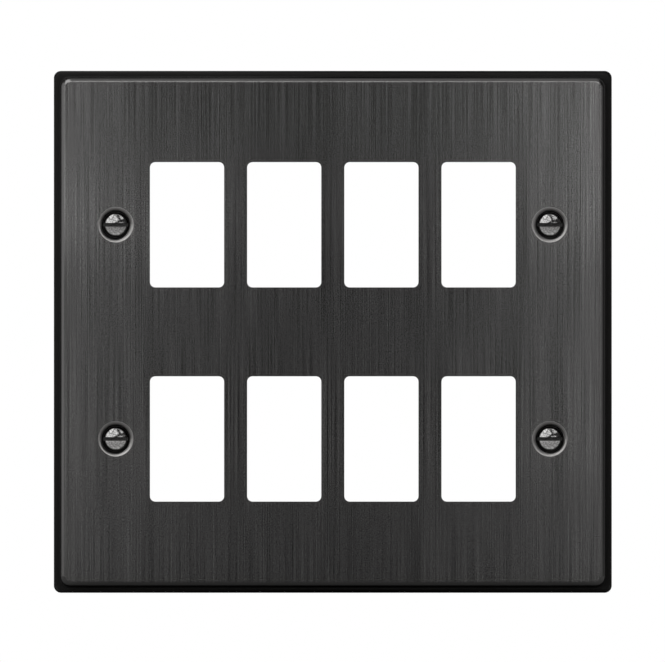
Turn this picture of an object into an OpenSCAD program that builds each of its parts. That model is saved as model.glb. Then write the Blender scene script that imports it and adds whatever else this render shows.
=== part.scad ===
// Front plate for eight grid switches, two rows of four, with its four fixing screws.
// It hangs upright as on the wall: X runs across it, Z is up and its face looks along -Y.
// The origin is the middle of the screw pattern, on the wall plane.
// Modules draw in plate terms: x across, y up, z out of the wall. hang() stands them up.

/* [Plate] */
// Overall width
plate_w = 155; // [140:0.5:180]
// Overall height
plate_h = 145; // [120:0.5:180]
// From the wall to the front of the raised face
plate_depth = 5; // [4.4:0.1:8]
// Thickness of the pressed sheet
sheet_t = 0.8; // [0.6:0.05:1.1]
// Corner radius of the outline
outline_corner_r = 2; // [1.5:0.1:5]

/* [Ledge round the face] */
// From the outline in to the foot of the raised face
ledge_w = 1.8; // [1.75:0.05:3]
// From the wall to the front of the ledge
ledge_h = 2; // [1.6:0.1:2.6]
// Inside radius of the bend from skirt to ledge
ledge_bend_r = 0.2; // [0.1:0.05:0.3]
// Inside radius of the bend from ledge up to the face
foot_bend_r = 0.4; // [0.2:0.05:0.5]

/* [Raised face] */
// Corner radius of the raised face
face_corner_r = 2.8; // [2.2:0.1:5]
// Inside radius of the bend round the edge of the face
face_bend_r = 0.6; // [0.3:0.05:0.8]

/* [Windows] */
// Windows in each row
window_columns = 4; // [2:1:4]
// Width of one window
window_w = 20.6; // [18:0.1:22]
// Height of one window
window_h = 34.8; // [30:0.1:40]
// Corner radius of a window
window_corner_r = 1.5; // [0.5:0.1:3]
// From one window to the next along a row
window_pitch = 27; // [26:0.1:28]
// From one row of windows to the next; the screws keep to the same rows
row_pitch = 59.5; // [54:0.1:64]

/* [Fixing screws] */
// Between the left and right screws, centre to centre
fixing_w = 120.6; // [118:0.1:124]
// Diameter over the thread
thread_d = 3.5; // [3.2:0.1:4]
// Length under the head
screw_len = 25; // [16:1:50]
// Diameter of the neck between head and thread
neck_d = 3.1; // [2.6:0.1:3.4]
// Length of the neck
neck_len = 1.2; // [1:0.1:2]
// Diameter of the head
head_d = 6.85; // [6:0.05:8]
// Height of the head
head_h = 2.1; // [1.8:0.05:2.5]
// Radius of the rounded shoulder of the head
shoulder_r = 1.15; // [0.5:0.05:1.4]
// Radius of the shallow crown on the head
crown_r = 30; // [20:1:60]
// Width of the screwdriver slot
slot_w = 1; // [0.6:0.05:1.4]
// Depth of the screwdriver slot
slot_depth = 0.95; // [0.6:0.05:1.2]
// Length of the tapered tip
tip_len = 0.6; // [0.3:0.1:1.5]

/* [Screw pockets] */
// Gap round the screw head in its pocket
head_gap = 0.5; // [0.35:0.05:0.8]
// From the front of the face down to the top of the head
head_sink = 0.5; // [0:0.1:0.7]
// Inside radius of the bend at the mouth of a pocket
mouth_bend_r = 0.25; // [0.1:0.05:0.4]
// Inside radius of the bend at the floor of a pocket
floor_bend_r = 0.3; // [0.1:0.05:0.35]
// Gap round the thread in the hole through the floor
hole_gap = 0.25; // [0.1:0.05:0.4]

/* [Hidden] */
$fn = 96;
// How far a cut runs past the face it cuts
overrun = 1;
// Radius of a screw's tip, as a share of its thread's
tip_share = 0.7;
// The two sides and the two rows, as signs
SIDES = [-1, 1];
LEFT = SIDES[0];
RIGHT = SIDES[1];
BOTTOM = SIDES[0];
TOP = SIDES[1];

// Raised face
face_w = plate_w - 2 * ledge_w;
face_h = plate_h - 2 * ledge_w;

// A bend's outside radius is its inside radius and the sheet
ledge_edge_r = ledge_bend_r + sheet_t;
face_edge_r = face_bend_r + sheet_t;
mouth_edge_r = mouth_bend_r + sheet_t;

// Pockets
head_r = head_d / 2;
pocket_r = head_r + head_gap;
mouth_r = pocket_r + mouth_edge_r;
seat_z = plate_depth - head_sink - head_h;
hole_r = thread_d / 2 + hole_gap;

SCREWS = [
    ["screw_top_left", LEFT, TOP],
    ["screw_top_right", RIGHT, TOP],
    ["screw_bottom_left", LEFT, BOTTOM],
    ["screw_bottom_right", RIGHT, BOTTOM],
];

// Stands a shape drawn in plate terms upright in the wall's frame
module hang() {
    rotate([90, 0, 0]) children();
}

// Places a shape at each screw
module at_screws() {
    for (screw = SCREWS)
        at_screw(screw[1], screw[2]) children();
}

module at_screw(side, row) {
    translate([side * fixing_w / 2, row * row_pitch / 2, 0]) children();
}

// A quarter of a disc, in the corner between +x and +y
module quarter_disc(r) {
    intersection() {
        circle(r);
        square(r);
    }
}

// What fills a square inner corner at the origin out to a radius
module corner_fill(r) {
    difference() {
        square(r);
        translate([r, r]) circle(r);
    }
}

// A rectangle from the origin, its far top corner rounded
module rounded_shoulder(w, h, r) {
    square([w - r, h]);
    square([w, h - r]);
    translate([w - r, h - r]) quarter_disc(r);
}

// A rectangle about the origin, all its corners rounded
module rounded_rectangle(w, h, r) {
    square([w - 2 * r, h], center = true);
    square([w, h - 2 * r], center = true);
    for (x = SIDES, y = SIDES)
        translate([x * (w / 2 - r), y * (h / 2 - r)]) circle(r);
}

// Carries the 2-D edge section given as its child round a rectangle with round corners.
// The section starts at the centre of a corner, x = 0, and its x grows outwards.
module carried_round(w, h, corner_r) {
    spans = [w - 2 * corner_r, h - 2 * corner_r];
    for (quarter = [0:3]) {
        along_x = quarter % 2;
        reach = spans[along_x] / 2;
        run = spans[1 - along_x];
        rotate(90 * quarter) translate([reach, run / 2, 0]) {
            rotate([90, 0, 0]) linear_extrude(run) children();
            rotate_extrude(angle = 90) children();
        }
    }
}

// A slab from low to high with round corners, a rounded top edge and, if asked, a flared foot
module pressed_slab(w, h, low, high, corner_r, edge_r, foot_r = 0) {
    translate([corner_r - w / 2, corner_r - h / 2, low])
        cube([w - 2 * corner_r, h - 2 * corner_r, high - low]);
    carried_round(w, h, corner_r) {
        translate([0, low]) {
            rounded_shoulder(corner_r, high - low, edge_r);
            if (foot_r > 0)
                translate([corner_r, 0]) corner_fill(foot_r);
        }
    }
}

// The outside of the pressing
module shell_outside() {
    pressed_slab(plate_w, plate_h, 0, ledge_h, outline_corner_r, ledge_edge_r);
    pressed_slab(face_w, face_h, ledge_h, plate_depth, face_corner_r, face_edge_r, foot_bend_r);
}

// The hollow behind it, one sheet in from the outside all over
module shell_hollow() {
    pressed_slab(
        plate_w - 2 * sheet_t, plate_h - 2 * sheet_t,
        -overrun, ledge_h - sheet_t,
        outline_corner_r - sheet_t, ledge_bend_r
    );
    pressed_slab(
        face_w - 2 * sheet_t, face_h - 2 * sheet_t,
        ledge_h - sheet_t, plate_depth - sheet_t,
        face_corner_r - sheet_t, face_bend_r, foot_bend_r + sheet_t
    );
}

// What the punch takes out for the switches
module windows() {
    first_x = -window_pitch * (window_columns - 1) / 2;
    for (column = [0:window_columns - 1], row = SIDES)
        translate([first_x + column * window_pitch, row * row_pitch / 2, plate_depth - sheet_t - overrun])
            linear_extrude(sheet_t + 2 * overrun)
                rounded_rectangle(window_w, window_h, window_corner_r);
}

// The sheet's section where it is drawn back into a pocket: mouth, wall and holed floor
module pocket_section() {
    bend_z = plate_depth - mouth_edge_r;
    difference() {
        union() {
            translate([0, plate_depth]) mirror([0, 1])
                rounded_shoulder(pocket_r + sheet_t, plate_depth - seat_z + sheet_t, floor_bend_r + sheet_t);
            translate([pocket_r + sheet_t, bend_z]) square([mouth_bend_r, mouth_edge_r]);
        }
        translate([mouth_r, bend_z]) circle(mouth_bend_r);
        translate([0, plate_depth]) mirror([0, 1])
            rounded_shoulder(pocket_r, plate_depth - seat_z, floor_bend_r);
        translate([pocket_r, bend_z]) mouth_clearance();
        translate([0, seat_z - sheet_t - overrun]) square([hole_r, sheet_t + 2 * overrun]);
    }
}

// What lies in front of the rounded mouth of a pocket
module mouth_clearance() {
    difference() {
        square(mouth_edge_r);
        translate([mouth_edge_r, 0]) circle(mouth_edge_r);
    }
}

module front_plate() {
    color("dimgray") hang() {
        difference() {
            shell_outside();
            shell_hollow();
            windows();
            at_screws() translate([0, 0, plate_depth - sheet_t - overrun])
                cylinder(r = mouth_r, h = sheet_t + 2 * overrun);
        }
        at_screws() rotate_extrude() pocket_section();
    }
}

// Half the section of a screw, from its tip up to the crown of its head
module screw_section() {
    thread_r = thread_d / 2;
    thread_top = seat_z - neck_len;
    tip = seat_z - screw_len;
    translate([0, seat_z]) intersection() {
        rounded_shoulder(head_r, head_h, shoulder_r);
        translate([0, head_h - crown_r]) circle(crown_r);
    }
    translate([0, thread_top]) square([neck_d / 2, neck_len]);
    polygon([
        [0, tip],
        [thread_r * tip_share, tip],
        [thread_r, tip + tip_len],
        [thread_r, thread_top],
        [0, thread_top],
    ]);
}

module fixing_screw(side, row) {
    color("silver") hang() at_screw(side, row) difference() {
        rotate_extrude() screw_section();
        translate([-head_r - overrun, -slot_w / 2, seat_z + head_h - slot_depth])
            cube([head_d + 2 * overrun, slot_w, slot_depth + overrun]);
    }
}

front_plate();
for (screw = SCREWS)
    fixing_screw(screw[1], screw[2]);
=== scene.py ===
"""The looks of the grid switch front plate: its brushed black nickel and its threaded screws."""

import math

import bmesh
import bpy
from mathutils import Matrix, Vector


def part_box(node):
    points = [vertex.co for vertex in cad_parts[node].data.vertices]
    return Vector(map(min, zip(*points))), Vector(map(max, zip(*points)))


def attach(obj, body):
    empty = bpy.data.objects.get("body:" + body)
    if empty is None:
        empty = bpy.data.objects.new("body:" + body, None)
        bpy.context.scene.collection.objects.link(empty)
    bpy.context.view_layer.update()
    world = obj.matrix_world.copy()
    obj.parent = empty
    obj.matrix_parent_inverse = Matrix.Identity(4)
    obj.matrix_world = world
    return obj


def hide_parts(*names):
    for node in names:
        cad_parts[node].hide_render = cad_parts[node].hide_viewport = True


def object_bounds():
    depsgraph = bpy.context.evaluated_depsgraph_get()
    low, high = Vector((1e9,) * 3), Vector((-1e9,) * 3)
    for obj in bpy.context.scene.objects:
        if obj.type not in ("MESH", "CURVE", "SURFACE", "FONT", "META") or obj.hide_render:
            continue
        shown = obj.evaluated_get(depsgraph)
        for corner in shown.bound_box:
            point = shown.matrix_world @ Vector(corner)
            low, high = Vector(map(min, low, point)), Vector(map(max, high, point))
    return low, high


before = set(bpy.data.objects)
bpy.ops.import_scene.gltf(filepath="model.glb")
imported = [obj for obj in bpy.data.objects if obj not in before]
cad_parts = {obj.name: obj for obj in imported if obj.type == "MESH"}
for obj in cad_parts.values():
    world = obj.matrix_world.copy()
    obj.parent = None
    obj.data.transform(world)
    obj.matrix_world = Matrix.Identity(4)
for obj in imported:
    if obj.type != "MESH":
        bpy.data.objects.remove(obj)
cad_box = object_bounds()

MM = 0.001

# The photograph's frame and the plate in it, in pixels
PHOTO_WIDTH_PX = 665
PHOTO_HEIGHT_PX = 662
PLATE_WIDTH_PX = 557.9
PLATE_CENTRE_PX = (332.8, 331.85)
CAMERA_DISTANCE = 1.0

# The pressing, in millimetres from the wall or from a screw's axis, as the solids have it
LEDGE_FRONT = 2.0
FACE_FRONT = 5.0
FACE_EDGE_R = 1.4
MOUTH_R = 4.975

# The fixing screws, as the solids have them
THREAD_R = 1.75 * MM
TIP_R = 0.7 * THREAD_R
TIP_LEN = 0.6 * MM
NECK_R = 1.55 * MM
NECK_LEN = 1.2 * MM
HEAD_R = 3.425 * MM
HEAD_H = 2.1 * MM
SHOULDER_R = 1.15 * MM
CROWN_R = 30 * MM
SLOT_W = 1.0 * MM
SLOT_DEPTH = 0.95 * MM
# A coarse metric thread: its pitch and depth, and its profile as shares of both
THREAD_PITCH = 0.6 * MM
THREAD_DEPTH = 0.325 * MM
THREAD_PROFILE = [(0.0, 0.0), (0.25, 0.0), (0.5625, 1.0), (0.6875, 1.0)]
THREAD_RUN_OUT = 0.4 * MM
SLOT_EDGE_R = 0.05 * MM
SCREW_COLUMNS = 72

# Where two points of a mesh are one, and how sharp an edge is broken or stays sharp
SAME_PLACE = 0.0005 * MM
BROKEN_EDGE = math.radians(40)
SHARP_EDGE = math.radians(20)

# Finishes, and the painted highlight and shade on the screws: how light, where 1 is white, and how
# much redder than blue
FACE_TONE = (0.06, 0.012)
# The ledge toned near-black, far darker than the face and the back
LEDGE_TONE = (0.015, 0.02)
MOUTH_TONE = (0.14, 0.02)
BACK_TONE = (0.05, 0.01)
# The screw's crown painted lighter as a painted highlight, and its shoulder painted darker as painted
# shade
CROWN_HIGHLIGHT_TONE = (0.31, 0.01)
SHOULDER_SHADE_TONE = (0.12, 0.01)
# The slot painted dark as painted shade
SLOT_SHADE_TONE = (0.03, 0.01)
FLOOR_TONE = (0.8, 0.005)
DARKEST_SHARE = 0.2
# How rough they are, where 0 is a mirror
FACE_ROUGHNESS = 0.22
EDGE_ROUGHNESS = 0.17
LEDGE_ROUGHNESS = 0.7
MOUTH_ROUGHNESS = 0.4
BACK_ROUGHNESS = 0.42
SCREW_ROUGHNESS = 0.05
SLOT_ROUGHNESS = 0.4
FLOOR_ROUGHNESS = 0.9
# How far brushing draws a highlight out, and what is left of the shine at a glancing angle
BRUSH_SPREAD = 0.85
EDGE_SHINE = 0.2

# The brushing's layers: how many marks a millimetre across, out and up
FINE_GROOVES = (3.0, 1.0, 0.02)
WIDE_GROOVES = (1.1, 0.5, 0.012)
BANDS = (0.15, 0.2, 0.006)
SPECKS = (2.8, 2.8, 3.0)
# How strongly each layer shows in the tone, and the fine grooves in the roughness
FINE_SHARE = 1.6
WIDE_SHARE = 0.15
BAND_SHARE = 0.6
SPECK_SHARE = 2.4
FINE_ROUGHNESS = 0.1

# The screws' mottling: how many spots a millimetre, and how strongly it shows
MOTTLE_SCALE = 2.2
MOTTLE_SHARE = 3.2
MOTTLE_ROUGHNESS = 0.05

# How bright a mirror would see the room in front of the plate
ROOM_LIGHT = 0.06

# The boxes that light the plate and its screws: name, place, aim, size, brightness, and tilt
MIDDLE = (0, 0, 0)
FAR_BOXES = [
    ("upper_left_key", (-0.4, -0.67, 0.7), MIDDLE, (0.5, 1.2), 5.4, 30),
    ("left_box", (-1.8, -2.6, 0.3), MIDDLE, (1.2, 1.2), 1.3, 0),
    ("left_wall", (-1.2, -0.5, 0.4), (0, 0, 0.1), (1.4, 1.0), 1.8, 0),
    ("right_box", (1.4, -1.7, 0.2), MIDDLE, (1.2, 0.8), 0.9, 0),
]

# The boxes that a screw's crown mirrors: name, place across and up, size, brightness, and tilt
CROWN_BOX_DISTANCE = 6.0
CROWN_BOXES = [
    ("crown_box", -0.8, 0.6, (1.8, 1.2), 1.4, 30),
    ("crown_box_right", 0.52, 1.14, (0.5, 1.0), 1.3, 30),
    ("crown_box_low", 0.52, 0.24, (0.6, 0.1), 1.3, 5),
]

# The strips near the face: name, place across and up, width, and brightness
STRIP_DISTANCE = 0.24
STRIP_HEIGHT = 0.08
STRIP_AIM = 0.05
STRIPS = [
    ("left_high", -0.13, 0.065, 0.1, 3.3),
    ("left_middle", -0.1, 0.0, 0.05, 2.2),
    ("left_low", -0.11, -0.08, 0.05, 2.1),
    ("right_high", 0.1, 0.065, 0.05, 5.2),
    ("right_middle", 0.1, 0.0, 0.05, 2.8),
    ("right_low", 0.11, -0.08, 0.05, 2.0),
]


class Field:
    """A value, colour or direction that varies over a surface. Sums on values add Math nodes."""

    def __init__(self, graph, socket):
        self.graph = graph
        self.socket = socket

    def maths(self, operation, *values):
        return self.graph.node("ShaderNodeMath", {"operation": operation}, dict(enumerate(values)))

    def __add__(self, other):
        return self.maths("ADD", self, other)

    def __radd__(self, other):
        return self.maths("ADD", other, self)

    def __sub__(self, other):
        return self.maths("SUBTRACT", self, other)

    def __rsub__(self, other):
        return self.maths("SUBTRACT", other, self)

    def __mul__(self, other):
        return self.maths("MULTIPLY", self, other)

    def __rmul__(self, other):
        return self.maths("MULTIPLY", other, self)

    def __pow__(self, other):
        return self.maths("POWER", self, other)

    def __neg__(self):
        return self.maths("MULTIPLY", self, -1.0)

    def __abs__(self):
        return self.maths("ABSOLUTE", self)

    def at_least(self, other):
        return self.maths("MAXIMUM", self, other)

    def rise(self, low, high):
        """0 below low, 1 above high, and a smooth rise between them."""
        return self.graph.node(
            "ShaderNodeMapRange",
            {"interpolation_type": "SMOOTHSTEP"},
            {"Value": self, "From Min": low, "From Max": high},
        )


class Graph:
    """The nodes of one material or world."""

    def __init__(self, owner):
        owner.use_nodes = True
        self.owner = owner
        self.tree = owner.node_tree
        self.tree.nodes.clear()

    def node(self, kind, settings=None, sockets=None, out=0):
        """Adds a node: its settings first, then the values or links of its sockets."""
        made = self.tree.nodes.new(kind)
        for name, setting in (settings or {}).items():
            setattr(made, name, setting)
        for name, value in (sockets or {}).items():
            if isinstance(value, Field):
                self.tree.links.new(value.socket, made.inputs[name])
            else:
                made.inputs[name].default_value = value
        return Field(self, made.outputs[out]) if made.outputs else None

    def mix(self, share, first, second):
        """The first colour where share is 0, the second where it is 1."""
        return self.node(
            "ShaderNodeMix", {"data_type": "RGBA"}, {0: share, 6: first, 7: second}, out=2
        )

    def toned(self, colour, tone):
        """A colour made lighter or darker by a value."""
        return self.node(
            "ShaderNodeVectorMath", {"operation": "SCALE"}, {0: colour, "Scale": tone}
        )

    def stretched(self, vector, factors):
        return self.node("ShaderNodeVectorMath", {"operation": "MULTIPLY"}, {0: vector, 1: factors})

    def place(self):
        """Where a point is on the object, in millimetres."""
        metres = self.node("ShaderNodeTexCoord", out="Object")
        return self.stretched(metres, (1 / MM, 1 / MM, 1 / MM))

    def parts(self, vector):
        split = self.node("ShaderNodeSeparateXYZ", None, {0: vector})
        return [Field(self, socket) for socket in split.socket.node.outputs]

    def noise(self, vector, detail=2.0, roughness=0.5, scale=1.0):
        """Noise about 0, with features one unit of the vector across at a scale of 1."""
        sockets = {"Vector": vector, "Scale": scale, "Detail": detail, "Roughness": roughness}
        return self.node("ShaderNodeTexNoise", None, sockets, out=0) - 0.5

    def bump(self, height, strength, distance):
        sockets = {"Strength": strength, "Distance": distance, "Height": height}
        return self.node("ShaderNodeBump", None, sockets)

    def metal(self, base, roughness, normal, anisotropic=0.0):
        sockets = {
            "Base Color": base,
            "Metallic": 1.0,
            "Roughness": roughness,
            "Normal": normal,
            "Anisotropic": anisotropic,
            "Specular Tint": grey(EDGE_SHINE),
        }
        shader = self.node("ShaderNodeBsdfPrincipled", None, sockets)
        self.node("ShaderNodeOutputMaterial", None, {"Surface": shader})
        return self.owner


def grey(value, warmth=0.0):
    """A near-neutral colour, a little redder than blue where warmth is above 0."""
    return (value * (1 + warmth), value, value * (1 - warmth), 1.0)


def screw_names():
    return [name for name in sorted(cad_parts) if name.startswith("screw_")]


def screw_place(name):
    """Where a screw's axis meets the wall plane."""
    low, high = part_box(name)
    middle = (low + high) / 2
    return Vector((middle.x, 0, middle.z))


def brushed_black_nickel():
    """Straight vertical brushing on the raised face; plain plating on the ledge, pockets and back,
    with the ledge toned near-black, far darker than the back.
    """
    graph = Graph(bpy.data.materials.new("brushed_black_nickel_finish"))
    place = graph.place()
    x, y, z = graph.parts(place)
    normal = graph.node("ShaderNodeNewGeometry", out="Normal")
    facing = -graph.parts(normal)[1]

    # Where the brush reached: the flat of the face, clear of its edge and of the pockets
    raised = (-y).rise(LEDGE_FRONT + 0.8, FACE_FRONT - FACE_EDGE_R + 0.4)
    flat = facing.rise(0.97, 0.999)
    corner = screw_place("screw_top_right") / MM
    from_screw = ((abs(x) - corner.x) ** 2.0 + (abs(z) - corner.z) ** 2.0) ** 0.5
    clear_of_pocket = from_screw.rise(MOUTH_R - 0.2, MOUTH_R + 0.1)
    brushed = raised * flat * clear_of_pocket
    back = 1.0 - facing.rise(-0.5, -0.1)

    fine = graph.noise(graph.stretched(place, FINE_GROOVES), detail=1.0)
    wide = graph.noise(graph.stretched(place, WIDE_GROOVES))
    band = graph.noise(graph.stretched(place, BANDS))
    speck = graph.noise(graph.stretched(place, SPECKS), detail=1.0)
    streak = fine * FINE_SHARE + wide * WIDE_SHARE + band * BAND_SHARE + speck * SPECK_SHARE
    tone = (1.0 + streak * brushed).at_least(DARKEST_SHARE)
    colour = graph.mix(clear_of_pocket, grey(*MOUTH_TONE), grey(*FACE_TONE))
    colour = graph.mix(raised, grey(*LEDGE_TONE), colour)
    colour = graph.mix(back, colour, grey(*BACK_TONE))

    plain = LEDGE_ROUGHNESS + raised * (EDGE_ROUGHNESS - LEDGE_ROUGHNESS)
    plain = plain * clear_of_pocket + MOUTH_ROUGHNESS * (1.0 - clear_of_pocket)
    plain = plain * (1.0 - back) + BACK_ROUGHNESS * back
    roughness = plain * (1.0 - brushed) + (FACE_ROUGHNESS + fine * FINE_ROUGHNESS) * brushed
    height = (fine + wide) * brushed
    bump = graph.bump(height, 0.2, 0.02 * MM)
    return graph.metal(graph.toned(colour, tone), roughness, bump, BRUSH_SPREAD)


def bright_black_nickel():
    """The screws' plating: brighter than the plate's and a little uneven, with a painted highlight on
    the crown, painted shade on the shoulder, and painted shade in the slot, which is also dull.
    """
    graph = Graph(bpy.data.materials.new("bright_black_nickel_finish"))
    place = graph.place()
    x, y, z = graph.parts(place)
    normal = graph.node("ShaderNodeNewGeometry", out="Normal")
    crown = (-graph.parts(normal)[1]).rise(0.95, 0.985)

    head_top = -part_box(screw_names()[0])[0].y / MM
    slot_floor = head_top - SLOT_DEPTH / MM
    half_slot = SLOT_W / MM / 2
    below_crown = 1.0 - (-y).rise(head_top - 0.4, head_top - 0.2)
    above_floor = (-y).rise(slot_floor - 0.15, slot_floor - 0.05)
    slot = below_crown * above_floor * (1.0 - abs(z).rise(half_slot, half_slot + 0.05))

    mottle = graph.noise(place, detail=3.0, roughness=0.6, scale=MOTTLE_SCALE)
    tone = (1.0 + mottle * MOTTLE_SHARE).at_least(DARKEST_SHARE)
    # Painted highlight on the crown, where the head faces straight out, and painted shade on the
    # shoulder
    colour = graph.mix(crown, grey(*SHOULDER_SHADE_TONE), grey(*CROWN_HIGHLIGHT_TONE))
    # Painted shade: the slot painted dark, besides being made rougher
    colour = graph.mix(slot, colour, grey(*SLOT_SHADE_TONE))
    dulled = slot * (SLOT_ROUGHNESS - SCREW_ROUGHNESS)
    roughness = SCREW_ROUGHNESS + mottle * MOTTLE_ROUGHNESS + dulled
    bump = graph.bump(mottle, 0.05, 0.1 * MM)
    return graph.metal(graph.toned(colour, tone), roughness, bump)


def stood_up(across, up, out):
    """From a screw's own terms to the wall's: across, up the wall and out of it."""
    return Vector((across, -out, up))


def turned_point(radius, column, out):
    angle = 2 * math.pi * column / SCREW_COLUMNS
    return stood_up(radius * math.cos(angle), radius * math.sin(angle), out)


def turned_surface(mesh, section):
    """Turns a section, a list of radius and height, round the screw's axis."""
    rings = []
    for radius, out in section:
        if radius == 0:
            rings.append([mesh.verts.new(turned_point(0, 0, out))] * SCREW_COLUMNS)
        else:
            rings.append(
                [mesh.verts.new(turned_point(radius, c, out)) for c in range(SCREW_COLUMNS)]
            )
    for inner, outer in zip(rings, rings[1:]):
        for column in range(SCREW_COLUMNS):
            after = (column + 1) % SCREW_COLUMNS
            corners = [inner[column], outer[column], outer[after], inner[after]]
            mesh.faces.new(dict.fromkeys(corners))


def smoothly(share):
    share = min(1.0, max(0.0, share))
    return share * share * (3 - 2 * share)


def thread_radius(share, out, tip, top):
    """The radius at a share of the thread's depth: cut back at the tip, run out at the neck."""
    cut = THREAD_R - THREAD_DEPTH * (1 - share)
    chamfer = TIP_R + (THREAD_R - TIP_R) * (out - tip) / TIP_LEN
    run_out = smoothly((out - (top - THREAD_RUN_OUT)) / THREAD_RUN_OUT)
    return min(cut, chamfer) * (1 - run_out) + NECK_R * run_out


def thread_surface(mesh, tip, top):
    """A right-handed thread. Its rows climb the helix, so that crest and root stay sharp."""
    steps = len(THREAD_PROFILE)
    turns = math.ceil((top - tip) / THREAD_PITCH) + 1
    rows = []
    for turn in range(-1, turns + 1):
        for along, depth_share in THREAD_PROFILE:
            row = []
            for column in range(SCREW_COLUMNS):
                climb = turn + along + column / SCREW_COLUMNS
                out = min(top, max(tip, tip + climb * THREAD_PITCH))
                radius = thread_radius(depth_share, out, tip, top)
                row.append(mesh.verts.new(turned_point(radius, column, out)))
            rows.append(row)
    for index in range(len(rows) - steps - 1):
        low, high = rows[index], rows[index + 1]
        for column in range(SCREW_COLUMNS - 1):
            mesh.faces.new([low[column], low[column + 1], high[column + 1], high[column]])
        last = SCREW_COLUMNS - 1
        mesh.faces.new([low[last], rows[index + steps][0], rows[index + steps + 1][0], high[last]])


def crown_drop(radius):
    return CROWN_R - math.sqrt(CROWN_R**2 - radius**2)


def shoulder_drop(radius):
    beyond = max(0.0, radius - (HEAD_R - SHOULDER_R))
    return SHOULDER_R - math.sqrt(max(0.0, SHOULDER_R**2 - beyond**2))


def head_section(seat):
    """Half the section of a head, from the middle of its crown to the middle of its seat."""
    top = seat + HEAD_H
    section = [(0, top)]
    crown_rings = 8
    shoulder_rings = 14
    meeting = HEAD_R - SHOULDER_R
    step = 0.001 * MM
    while shoulder_drop(meeting) < crown_drop(meeting):
        meeting += step
    for ring in range(1, crown_rings + 1):
        radius = meeting * ring / crown_rings
        section.append((radius, top - crown_drop(radius)))
    start = math.asin((meeting - (HEAD_R - SHOULDER_R)) / SHOULDER_R)
    for ring in range(1, shoulder_rings + 1):
        tilt = start + (math.pi / 2 - start) * ring / shoulder_rings
        radius = HEAD_R - SHOULDER_R + SHOULDER_R * math.sin(tilt)
        section.append((radius, top - SHOULDER_R + SHOULDER_R * math.cos(tilt)))
    section += [(HEAD_R, seat), (NECK_R, seat), (0, seat)]
    return section


def object_from(mesh, name):
    data = bpy.data.meshes.new(name)
    mesh.to_mesh(data)
    mesh.free()
    made = bpy.data.objects.new(name, data)
    bpy.context.scene.collection.objects.link(made)
    return made


def slot_cutter(seat):
    """The bar that cuts the slot, level across the head."""
    mesh = bmesh.new()
    bmesh.ops.create_cube(mesh, size=1.0)
    height = 2 * SLOT_DEPTH
    middle = seat + HEAD_H - SLOT_DEPTH + height / 2
    for vertex in mesh.verts:
        across, up, out = vertex.co
        vertex.co = stood_up(across * 3 * HEAD_R, up * SLOT_W, middle + out * height)
    return object_from(mesh, "slot_cutter")


def finished_mesh(piece):
    """A copy of a piece's mesh with its modifiers applied."""
    graph = bpy.context.evaluated_depsgraph_get()
    mesh = bmesh.new()
    mesh.from_mesh(piece.evaluated_get(graph).to_mesh())
    return mesh


def slotted_head(seat):
    """The head, slotted, with the slot's edges and its seat's edge just broken."""
    mesh = bmesh.new()
    turned_surface(mesh, head_section(seat))
    bmesh.ops.recalc_face_normals(mesh, faces=mesh.faces)
    head = object_from(mesh, "screw_head")
    cutter = slot_cutter(seat)
    cut = head.modifiers.new("slot", "BOOLEAN")
    cut.operation = "DIFFERENCE"
    cut.solver = "EXACT"
    cut.object = cutter
    edge = head.modifiers.new("broken_edges", "BEVEL")
    edge.width = SLOT_EDGE_R
    edge.segments = 2
    edge.limit_method = "ANGLE"
    edge.angle_limit = BROKEN_EDGE
    mesh = finished_mesh(head)
    for spare in (head, cutter):
        bpy.data.objects.remove(spare)
    return mesh


def screw_mesh(tip, seat):
    """One threaded screw, whole, from its tip to its slotted crown."""
    mesh = slotted_head(seat)
    # The neck goes on where the seat's middle is taken out
    seat_middle = [
        face for face in mesh.faces
        if abs(face.calc_center_median().y + seat) < 2 * SAME_PLACE
        and face.calc_center_median().xz.length < NECK_R
    ]
    bmesh.ops.delete(mesh, geom=seat_middle, context="FACES")
    thread_top = seat - NECK_LEN
    thread_surface(mesh, tip, thread_top)
    turned_surface(mesh, [(0, tip), (TIP_R, tip)])
    turned_surface(mesh, [(NECK_R, thread_top), (NECK_R, seat)])
    bmesh.ops.remove_doubles(mesh, verts=mesh.verts, dist=SAME_PLACE)
    bmesh.ops.dissolve_degenerate(mesh, dist=0.4 * SAME_PLACE, edges=mesh.edges)
    bmesh.ops.recalc_face_normals(mesh, faces=mesh.faces)
    data = bpy.data.meshes.new("fixing_screw")
    mesh.to_mesh(data)
    mesh.free()
    data.polygons.foreach_set("use_smooth", [True] * len(data.polygons))
    data.set_sharp_from_angle(angle=SHARP_EDGE)
    return data


def make_screws(finish):
    """Four screws alike, one in the place of each of the solids."""
    names = screw_names()
    low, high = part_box(names[0])
    data = screw_mesh(-high.y, -low.y - HEAD_H)
    data.materials.append(finish)
    screws = []
    for name in names:
        screw = bpy.data.objects.new(name.replace("screw", "threaded_screw"), data)
        bpy.context.scene.collection.objects.link(screw)
        screw.location = screw_place(name)
        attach(screw, "root")
        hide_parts(name)
        screws.append(screw)
    return screws


def make_plate(finish):
    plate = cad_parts["front_plate"]
    plate.data.materials.clear()
    plate.data.materials.append(finish)
    return plate


def make_camera():
    """Straight on to the face, with the plate where the photograph has it."""
    low, high = cad_box
    metres_a_pixel = (high.x - low.x) / PLATE_WIDTH_PX
    right = (PLATE_CENTRE_PX[0] - PHOTO_WIDTH_PX / 2) * metres_a_pixel
    down = (PLATE_CENTRE_PX[1] - PHOTO_HEIGHT_PX / 2) * metres_a_pixel
    data = bpy.data.cameras.new("photo_camera")
    data.type = "ORTHO"
    data.ortho_scale = PHOTO_WIDTH_PX * metres_a_pixel
    camera = bpy.data.objects.new("photo_camera", data)
    middle = (low + high) / 2
    camera.location = (middle.x - right, -CAMERA_DISTANCE, middle.z + down)
    camera.rotation_euler = (math.radians(90), 0, 0)
    bpy.context.scene.collection.objects.link(camera)
    bpy.context.scene.camera = camera


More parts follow.
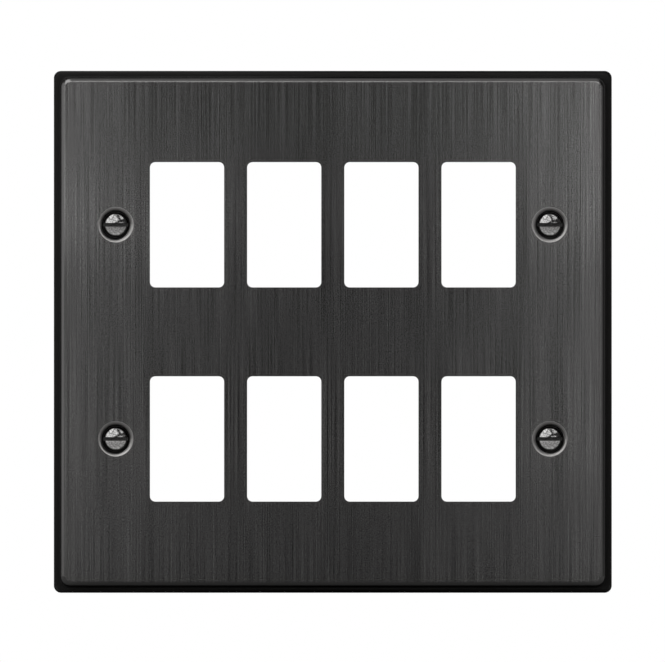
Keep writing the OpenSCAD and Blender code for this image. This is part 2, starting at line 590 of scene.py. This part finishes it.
def make_world():
    """White to the camera. Metal sees it white behind the plate and dim on the room's side."""
    world = bpy.data.worlds.new("studio")
    bpy.context.scene.world = world
    graph = Graph(world)
    direction = graph.node("ShaderNodeTexCoord", out="Generated")
    behind = graph.parts(direction)[1].rise(-0.1, 0.6)
    white = graph.node("ShaderNodeLightPath", out="Is Camera Ray").at_least(behind)
    strength = white + (1.0 - white) * ROOM_LIGHT
    light = graph.node("ShaderNodeBackground", None, {"Color": grey(1.0), "Strength": strength})
    graph.node("ShaderNodeOutputWorld", None, {"Surface": light})


def softbox(name, at, aim, size, brightness, tilt=0):
    """A one-sided panel of light. Brightness is what a mirror would see in it, where 1 is white."""
    light = bpy.data.lights.new(name, "AREA")
    light.shape = "RECTANGLE"
    light.size, light.size_y = size
    light.energy = brightness * math.pi * size[0] * size[1]
    lamp = bpy.data.objects.new(name, light)
    lamp.location = at
    turn = (Vector(aim) - Vector(at)).to_track_quat("-Z", "Y").to_matrix()
    turn = turn @ Matrix.Rotation(math.radians(tilt), 3, "Z")
    lamp.rotation_euler = turn.to_euler()
    lamp.visible_camera = False
    bpy.context.scene.collection.objects.link(lamp)
    return lamp


def light_only(lamp, pieces):
    """Keeps a lamp's light to some pieces."""
    lit = bpy.data.collections.new(lamp.name)
    for piece in pieces:
        lit.objects.link(piece)
    lamp.light_linking.receiver_collection = lit


def make_lights(plate, screws, floor):
    softbox("overhead", (0.0, -0.8, 1.3), MIDDLE, (1.8, 2.2), 1.0)
    for name, at, aim, size, brightness, tilt in FAR_BOXES:
        far_box = softbox(name, at, aim, size, brightness, tilt)
        light_only(far_box, [plate] + screws)
    for name, x, z, size, brightness, tilt in CROWN_BOXES:
        crown_box = softbox(name, (x, -CROWN_BOX_DISTANCE, z), (x, 0, z), size, brightness, tilt)
        light_only(crown_box, screws)
    edge_box = softbox("top_edge_box", (0.3, -1.6, 0.6), (0.3, 0, 0), (0.6, 0.4), 6.5)
    light_only(edge_box, [plate])
    floor_light = softbox("floor_light", (0.0, 1.0, 1.6), (0, 1.0, 0), (3.0, 3.0), 0.6)
    light_only(floor_light, [floor])
    for name, x, z, width, brightness in STRIPS:
        aim = (math.copysign(STRIP_AIM, x), 0, z)
        strip = softbox(name, (x, -STRIP_DISTANCE, z), aim, (width, STRIP_HEIGHT), brightness)
        light_only(strip, [plate])


def make_floor():
    """A plain pale floor at the plate's lower edge."""
    low, _ = cad_box
    reach = 6.0
    corners = [(-reach, -reach), (reach, -reach), (reach, reach), (-reach, reach)]
    data = bpy.data.meshes.new("floor")
    data.from_pydata([(x, y, low.z) for x, y in corners], [], [(0, 1, 2, 3)])
    graph = Graph(bpy.data.materials.new("pale_floor"))
    sockets = {
        "Base Color": grey(*FLOOR_TONE),
        "Roughness": FLOOR_ROUGHNESS,
        "Specular IOR Level": 0.2,
    }
    shader = graph.node("ShaderNodeBsdfPrincipled", None, sockets)
    graph.node("ShaderNodeOutputMaterial", None, {"Surface": shader})
    data.materials.append(graph.owner)
    floor = bpy.data.objects.new("floor", data)
    bpy.context.scene.collection.objects.link(floor)
    return floor


make_camera()
make_world()
floor = make_floor()
plate = make_plate(brushed_black_nickel())
screws = make_screws(bright_black_nickel())
make_lights(plate, screws, floor)

bpy.context.scene.view_settings.view_transform = "Standard"
